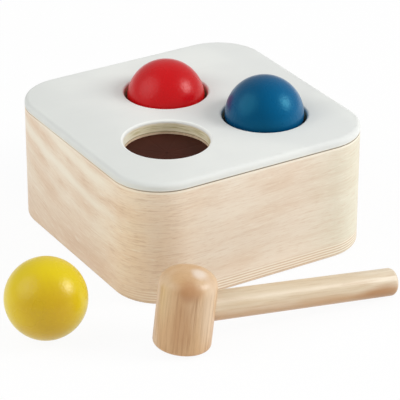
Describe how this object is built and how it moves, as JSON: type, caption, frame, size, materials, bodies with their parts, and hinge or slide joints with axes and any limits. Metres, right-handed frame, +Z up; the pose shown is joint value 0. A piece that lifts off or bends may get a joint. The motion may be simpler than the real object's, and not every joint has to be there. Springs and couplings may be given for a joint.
{
  "type": "ball pounding bench",
  "caption": "Square wooden box with a painted top plate and ball holes with rubber grip rings, a sloping floor that returns struck balls through the back, loose balls and a hammer.",
  "frame": {"origin": "centre of the box's underside, on the table", "axes": "+Z up; +X to the right and +Y to the back, along the box's sides; the outlet is in the back wall at +Y"},
  "size_m": [0.231, 0.2125, 0.0965],
  "materials": {
    "white_paint": "painted white, satin",
    "board_wood": "bare, sanded",
    "rubber": "matt, dark brown",
    "wall_wood": "clear matt lacquer",
    "steel": "zinc plated",
    "red_paint": "painted red, satin",
    "blue_paint": "painted blue, satin",
    "yellow_paint": "painted yellow, satin",
    "hammer_wood": "clear matt lacquer",
    "handle_wood": "clear matt lacquer"
  },
  "bodies": {
    "bench": {"top_plate": "white_paint", "ring_board": "board_wood", "retainer_board": "board_wood", "grip_ring_red": "rubber", "grip_ring_blue": "rubber", "grip_ring_yellow": "rubber", "wall_front": "wall_wood", "wall_back": "wall_wood", "wall_left": "wall_wood", "wall_right": "wall_wood", "post_front_left": "board_wood", "post_front_right": "board_wood", "post_back_left": "board_wood", "post_back_right": "board_wood", "base_panel": "board_wood", "ramp_board": "board_wood", "ramp_rail_left": "board_wood", "ramp_rail_mid": "board_wood", "ramp_rail_right": "board_wood", "plate_screws": "steel", "base_screws": "steel"},
    "red_ball": {"ball_red": "red_paint"},
    "blue_ball": {"ball_blue": "blue_paint"},
    "yellow_ball": {"ball_yellow": "yellow_paint"},
    "hammer": {"hammer_head": "hammer_wood", "hammer_handle": "handle_wood"}
  },
  "joints": [
    {"name": "red_ball_drop", "type": "slide", "parent": "bench", "child": "red_ball", "axis": [0, 0, 1], "range_m": [-0.0381, 0.04], "deforming": ["grip_ring_red"]},
    {"name": "blue_ball_drop", "type": "slide", "parent": "bench", "child": "blue_ball", "axis": [0, 0, 1], "range_m": [-0.0391, 0.04], "deforming": ["grip_ring_blue"]},
    {"name": "yellow_ball_lift", "type": "slide", "parent": "bench", "child": "yellow_ball", "axis": [0, 0, 1], "range_m": [0, 0.06]},
    {"name": "hammer_lift", "type": "slide", "parent": "bench", "child": "hammer", "axis": [0, 0, 1], "range_m": [0, 0.08]}
  ]
}
